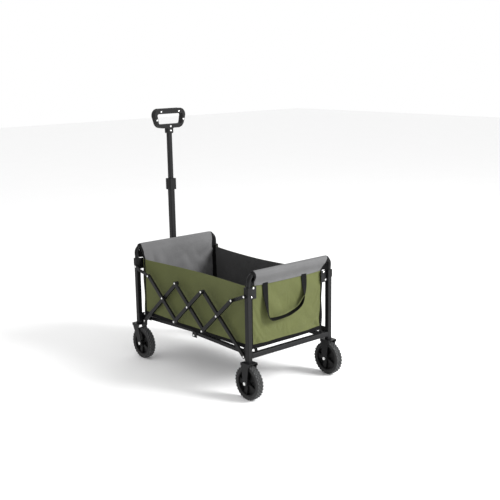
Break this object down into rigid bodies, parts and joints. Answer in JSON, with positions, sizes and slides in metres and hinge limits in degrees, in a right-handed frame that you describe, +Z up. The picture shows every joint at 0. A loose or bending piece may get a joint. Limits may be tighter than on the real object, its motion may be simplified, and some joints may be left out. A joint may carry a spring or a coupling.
{
  "type": "folding camp wagon",
  "caption": "Folding camp wagon: fabric bag on a scissor-sided steel frame, swivelling front wheels, telescopic pull handle and a webbing carry loop.",
  "frame": {"origin": "on the floor, under the middle of the unfolded wagon's bounding box", "axes": "+X forward to the pull handle, +Y to the wagon's left, +Z up"},
  "size_m": [0.9286, 0.532, 1.1751],
  "materials": {
    "frame_paint": "satin",
    "zinc_steel": "satin",
    "black_plastic": "matte",
    "wheel_plastic": "satin",
    "tyre_rubber": "matte",
    "green_fabric": "woven",
    "grey_fabric": "woven",
    "lining_fabric": "woven",
    "webbing": "woven"
  },
  "bodies": {
    "front_frame": {"front_posts": "frame_paint", "front_cross_tube": "frame_paint", "front_arch_tube": "frame_paint", "front_post_caps": "black_plastic", "front_corner_brackets": "frame_paint", "front_rivets": "zinc_steel", "handle_bracket": "frame_paint", "handle_bolt": "zinc_steel", "bag_front_panel": "green_fabric", "bag_side_left": "green_fabric", "bag_side_right": "green_fabric", "bag_floor": "lining_fabric", "floor_mat": "lining_fabric"},
    "rear_frame": {"rear_posts": "frame_paint", "rear_cross_tube": "frame_paint", "rear_arch_tube": "frame_paint", "rear_post_caps": "black_plastic", "rear_corner_brackets": "frame_paint", "rear_rivets": "zinc_steel", "bag_rear_panel": "green_fabric", "carry_strap": "webbing", "rear_fork_left": "frame_paint", "rear_fork_right": "frame_paint", "rear_axles": "zinc_steel"},
    "strut_a": {"strut_a": "frame_paint", "strut_a_rivets": "zinc_steel"},
    "strut_b": {"strut_b": "frame_paint"},
    "strut_c": {"strut_c": "frame_paint", "strut_c_rivets": "zinc_steel"},
    "strut_d": {"strut_d": "frame_paint", "strut_d_rivets": "zinc_steel"},
    "strut_e": {"strut_e": "frame_paint"},
    "strut_f": {"strut_f": "frame_paint", "strut_f_rivets": "zinc_steel"},
    "link_front": {"link_front": "frame_paint", "link_front_rivets": "zinc_steel"},
    "link_rear": {"link_rear": "frame_paint"},
    "floor_front": {"floor_bars_front": "frame_paint", "floor_cross_tube": "frame_paint"},
    "floor_rear": {"floor_bars_rear": "frame_paint", "floor_hinge_rivets": "zinc_steel"},
    "handle_lower": {"handle_lower_tube": "frame_paint", "handle_collar": "black_plastic"},
    "handle_upper": {"handle_upper_tube": "frame_paint", "grip_front_shell": "black_plastic", "grip_rear_shell": "black_plastic", "grip_screws": "zinc_steel"},
    "release_button": {"release_button": "black_plastic"},
    "caster_left": {"front_fork_left": "frame_paint", "front_axle_left": "zinc_steel"},
    "caster_right": {"front_fork_right": "frame_paint", "front_axle_right": "zinc_steel"},
    "wheel_front_left": {"tyre_front_left": "tyre_rubber", "hub_front_left": "wheel_plastic"},
    "wheel_front_right": {"tyre_front_right": "tyre_rubber", "hub_front_right": "wheel_plastic"},
    "wheel_rear_left": {"tyre_rear_left": "tyre_rubber", "hub_rear_left": "wheel_plastic"},
    "wheel_rear_right": {"tyre_rear_right": "tyre_rubber", "hub_rear_right": "wheel_plastic"}
  },
  "joints": [
    {"name": "fold", "type": "hinge", "parent": "front_frame", "child": "strut_b", "pos_m": [0.3798, 0, 0.18], "axis": [0, 1, 0], "range_deg": [0, 40.87], "deforming": ["bag_side_left", "bag_side_right", "bag_floor", "floor_mat"]},
    {"name": "cross_ab", "type": "hinge", "parent": "strut_b", "child": "strut_a", "pos_m": [0.21477, 0, 0.32412], "axis": [0, 1, 0], "range_deg": [-81.75, 0]},
    {"name": "apex_bc", "type": "hinge", "parent": "strut_b", "child": "strut_c", "pos_m": [0.11279, 0, 0.41318], "axis": [0, 1, 0], "range_deg": [-81.75, 0]},
    {"name": "cross_cd", "type": "hinge", "parent": "strut_c", "child": "strut_d", "pos_m": [0.0108, 0, 0.32412], "axis": [0, 1, 0], "range_deg": [0, 81.75]},
    {"name": "apex_de", "type": "hinge", "parent": "strut_d", "child": "strut_e", "pos_m": [-0.09119, 0, 0.41318], "axis": [0, 1, 0], "range_deg": [-81.75, 0]},
    {"name": "cross_ef", "type": "hinge", "parent": "strut_e", "child": "strut_f", "pos_m": [-0.19317, 0, 0.32412], "axis": [0, 1, 0], "range_deg": [0, 81.75]},
    {"name": "rear_end", "type": "hinge", "parent": "strut_e", "child": "rear_frame", "pos_m": [-0.3582, 0, 0.18], "axis": [0, 1, 0], "range_deg": [0, 40.88]},
    {"name": "link_front_pivot", "type": "hinge", "parent": "front_frame", "child": "link_front", "pos_m": [0.4018, 0, 0.4464], "axis": [0, 1, 0], "range_deg": [0, 89.67]},
    {"name": "link_rear_pivot", "type": "hinge", "parent": "rear_frame", "child": "link_rear", "pos_m": [-0.3802, 0, 0.4464], "axis": [0, 1, 0], "range_deg": [-89.67, 0]},
    {"name": "floor_front_pivot", "type": "hinge", "parent": "front_frame", "child": "floor_front", "pos_m": [0.3775, 0, 0.186], "axis": [0, 1, 0], "range_deg": [0, 77.67]},
    {"name": "floor_rear_pivot", "type": "hinge", "parent": "rear_frame", "child": "floor_rear", "pos_m": [-0.3559, 0, 0.186], "axis": [0, 1, 0], "range_deg": [-77.67, 0]},
    {"name": "handle_tilt", "type": "hinge", "parent": "front_frame", "child": "handle_lower", "pos_m": [0.4385, 0, 0.189], "axis": [0, 1, 0], "range_deg": [0, 95]},
    {"name": "handle_slide", "type": "slide", "parent": "handle_lower", "child": "handle_upper", "axis": [0.0073, 0, 1], "range_m": [-0.205, 0]},
    {"name": "button_press", "type": "slide", "parent": "handle_lower", "child": "release_button", "axis": [-1, 0, 0.0073], "range_m": [0, 0.003], "stiffness_N_per_m": 500},
    {"name": "caster_left_swivel", "type": "hinge", "parent": "front_frame", "child": "caster_left", "pos_m": [0.4095, 0.237, 0.16], "axis": [0, 0, 1], "continuous": true},
    {"name": "caster_right_swivel", "type": "hinge", "parent": "front_frame", "child": "caster_right", "pos_m": [0.4095, -0.237, 0.16], "axis": [0, 0, 1], "continuous": true},
    {"name": "wheel_front_left_spin", "type": "hinge", "parent": "caster_left", "child": "wheel_front_left", "pos_m": [0.3792, 0.237, 0.075], "axis": [0, 1, 0], "continuous": true},
    {"name": "wheel_front_right_spin", "type": "hinge", "parent": "caster_right", "child": "wheel_front_right", "pos_m": [0.3792, -0.237, 0.075], "axis": [0, 1, 0], "continuous": true},
    {"name": "wheel_rear_left_spin", "type": "hinge", "parent": "rear_frame", "child": "wheel_rear_left", "pos_m": [-0.3879, 0.237, 0.075], "axis": [0, 1, 0], "continuous": true},
    {"name": "wheel_rear_right_spin", "type": "hinge", "parent": "rear_frame", "child": "wheel_rear_right", "pos_m": [-0.3879, -0.237, 0.075], "axis": [0, 1, 0], "continuous": true}
  ],
  "couplings": [
    {"joint": "cross_ab", "follows": "fold", "ratio": -2},
    {"joint": "apex_bc", "follows": "fold", "ratio": -2},
    {"joint": "cross_cd", "follows": "fold", "ratio": 2},
    {"joint": "apex_de", "follows": "fold", "ratio": -2},
    {"joint": "cross_ef", "follows": "fold", "ratio": 2},
    {"joint": "rear_end", "follows": "fold", "ratio": 1},
    {"joint": "link_front_pivot", "follows": "fold", "ratio": 2.1938},
    {"joint": "link_rear_pivot", "follows": "fold", "ratio": -2.1938},
    {"joint": "floor_front_pivot", "follows": "fold", "ratio": 1.9001},
    {"joint": "floor_rear_pivot", "follows": "fold", "ratio": -1.9001}
  ]
}
